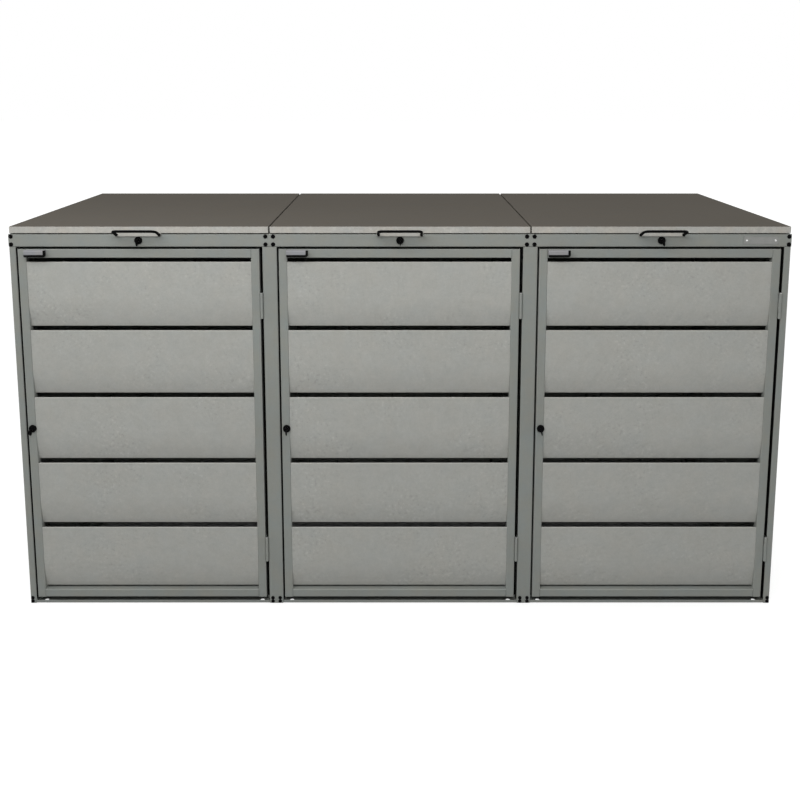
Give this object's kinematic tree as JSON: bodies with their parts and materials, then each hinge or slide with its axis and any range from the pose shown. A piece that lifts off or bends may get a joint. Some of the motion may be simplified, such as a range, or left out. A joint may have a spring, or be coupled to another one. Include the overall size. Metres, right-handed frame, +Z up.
{
  "type": "wheelie bin store",
  "caption": "Steel store for wheelie bins: side-by-side bays, each with a louvred hinged door, a lifting lid with a bow handle, and cam locks.",
  "frame": {"origin": "centre of the bounding box's underside, on the ground", "axes": "+X to the right seen from the front, +Y from the doors to the back, +Z up"},
  "size_m": [2.339, 0.9074, 1.207],
  "materials": {
    "frame_paint": "satin",
    "louvre_paint": "satin",
    "panel_paint": "satin",
    "lid_paint": "satin",
    "black_metal": "satin",
    "black_plastic": "matte",
    "black_rubber": "matte",
    "bright_steel": "brushed",
    "plate_metal": "satin"
  },
  "bodies": {
    "cabinet": {"left_front_post": "frame_paint", "inner_front_post_1": "frame_paint", "inner_front_post_2": "frame_paint", "right_front_post": "frame_paint", "top_front_rail": "frame_paint", "top_rear_rail": "frame_paint", "top_side_rails": "frame_paint", "gutter_rails": "frame_paint", "base_front_rail": "frame_paint", "base_rear_rail": "frame_paint", "base_side_rails": "frame_paint", "rear_posts": "frame_paint", "side_panels": "panel_paint", "back_panels": "panel_paint", "door_hinge_fixed_leaves": "frame_paint", "door_hinge_pins": "bright_steel", "lid_hinge_fixed_leaves": "frame_paint", "lid_hinge_pins": "bright_steel", "lid_lock_housings": "black_plastic", "lid_buffers": "black_rubber", "top_rail_bolts": "black_metal", "foot_bolts": "black_metal", "name_plate": "plate_metal"},
    "left_door": {"left_door_frame": "frame_paint", "left_door_louvres": "louvre_paint", "left_door_pull": "frame_paint", "left_door_pull_trim": "black_rubber", "left_door_lock_housing": "black_plastic"},
    "left_door_lock": {"left_door_lock_cam": "bright_steel", "left_door_key": "bright_steel"},
    "left_lid": {"left_lid_panel": "lid_paint", "left_lid_handle": "black_metal", "left_lid_keeper": "bright_steel"},
    "left_lid_lock": {"left_lid_lock_cam": "bright_steel", "left_lid_key": "bright_steel"},
    "middle_door": {"middle_door_frame": "frame_paint", "middle_door_louvres": "louvre_paint", "middle_door_pull": "frame_paint", "middle_door_pull_trim": "black_rubber", "middle_door_lock_housing": "black_plastic"},
    "middle_door_lock": {"middle_door_lock_cam": "bright_steel", "middle_door_key": "bright_steel"},
    "middle_lid": {"middle_lid_panel": "lid_paint", "middle_lid_handle": "black_metal", "middle_lid_keeper": "bright_steel"},
    "middle_lid_lock": {"middle_lid_lock_cam": "bright_steel", "middle_lid_key": "bright_steel"},
    "right_door": {"right_door_frame": "frame_paint", "right_door_louvres": "louvre_paint", "right_door_pull": "frame_paint", "right_door_pull_trim": "black_rubber", "right_door_lock_housing": "black_plastic"},
    "right_door_lock": {"right_door_lock_cam": "bright_steel", "right_door_key": "bright_steel"},
    "right_lid": {"right_lid_panel": "lid_paint", "right_lid_handle": "black_metal", "right_lid_keeper": "bright_steel"},
    "right_lid_lock": {"right_lid_lock_cam": "bright_steel", "right_lid_key": "bright_steel"}
  },
  "joints": [
    {"name": "left_door_hinge", "type": "hinge", "parent": "cabinet", "child": "left_door", "pos_m": [-0.417, -0.40381, 0.573], "axis": [0, 0, 1], "range_deg": [0, 105]},
    {"name": "left_door_lock_turn", "type": "hinge", "parent": "left_door", "child": "left_door_lock", "pos_m": [-1.1295, -0.40181, 0.5775], "axis": [0, -1, 0], "range_deg": [0, 90]},
    {"name": "left_lid_hinge", "type": "hinge", "parent": "cabinet", "child": "left_lid", "pos_m": [-0.781, 0.44919, 1.1855], "axis": [-1, 0, 0], "range_deg": [0, 100]},
    {"name": "left_lid_lock_turn", "type": "hinge", "parent": "cabinet", "child": "left_lid_lock", "pos_m": [-0.781, -0.40181, 1.1645], "axis": [0, -1, 0], "range_deg": [0, 90]},
    {"name": "middle_door_hinge", "type": "hinge", "parent": "cabinet", "child": "middle_door", "pos_m": [0.364, -0.40381, 0.573], "axis": [0, 0, 1], "range_deg": [0, 105]},
    {"name": "middle_door_lock_turn", "type": "hinge", "parent": "middle_door", "child": "middle_door_lock", "pos_m": [-0.3485, -0.40181, 0.5775], "axis": [0, -1, 0], "range_deg": [0, 90]},
    {"name": "middle_lid_hinge", "type": "hinge", "parent": "cabinet", "child": "middle_lid", "pos_m": [0, 0.44919, 1.1855], "axis": [-1, 0, 0], "range_deg": [0, 100]},
    {"name": "middle_lid_lock_turn", "type": "hinge", "parent": "cabinet", "child": "middle_lid_lock", "pos_m": [0, -0.40181, 1.1645], "axis": [0, -1, 0], "range_deg": [0, 90]},
    {"name": "right_door_hinge", "type": "hinge", "parent": "cabinet", "child": "right_door", "pos_m": [1.145, -0.40381, 0.573], "axis": [0, 0, 1], "range_deg": [0, 105]},
    {"name": "right_door_lock_turn", "type": "hinge", "parent": "right_door", "child": "right_door_lock", "pos_m": [0.4325, -0.40181, 0.5775], "axis": [0, -1, 0], "range_deg": [0, 90]},
    {"name": "right_lid_hinge", "type": "hinge", "parent": "cabinet", "child": "right_lid", "pos_m": [0.781, 0.44919, 1.1855], "axis": [-1, 0, 0], "range_deg": [0, 100]},
    {"name": "right_lid_lock_turn", "type": "hinge", "parent": "cabinet", "child": "right_lid_lock", "pos_m": [0.781, -0.40181, 1.1645], "axis": [0, -1, 0], "range_deg": [0, 90]}
  ]
}
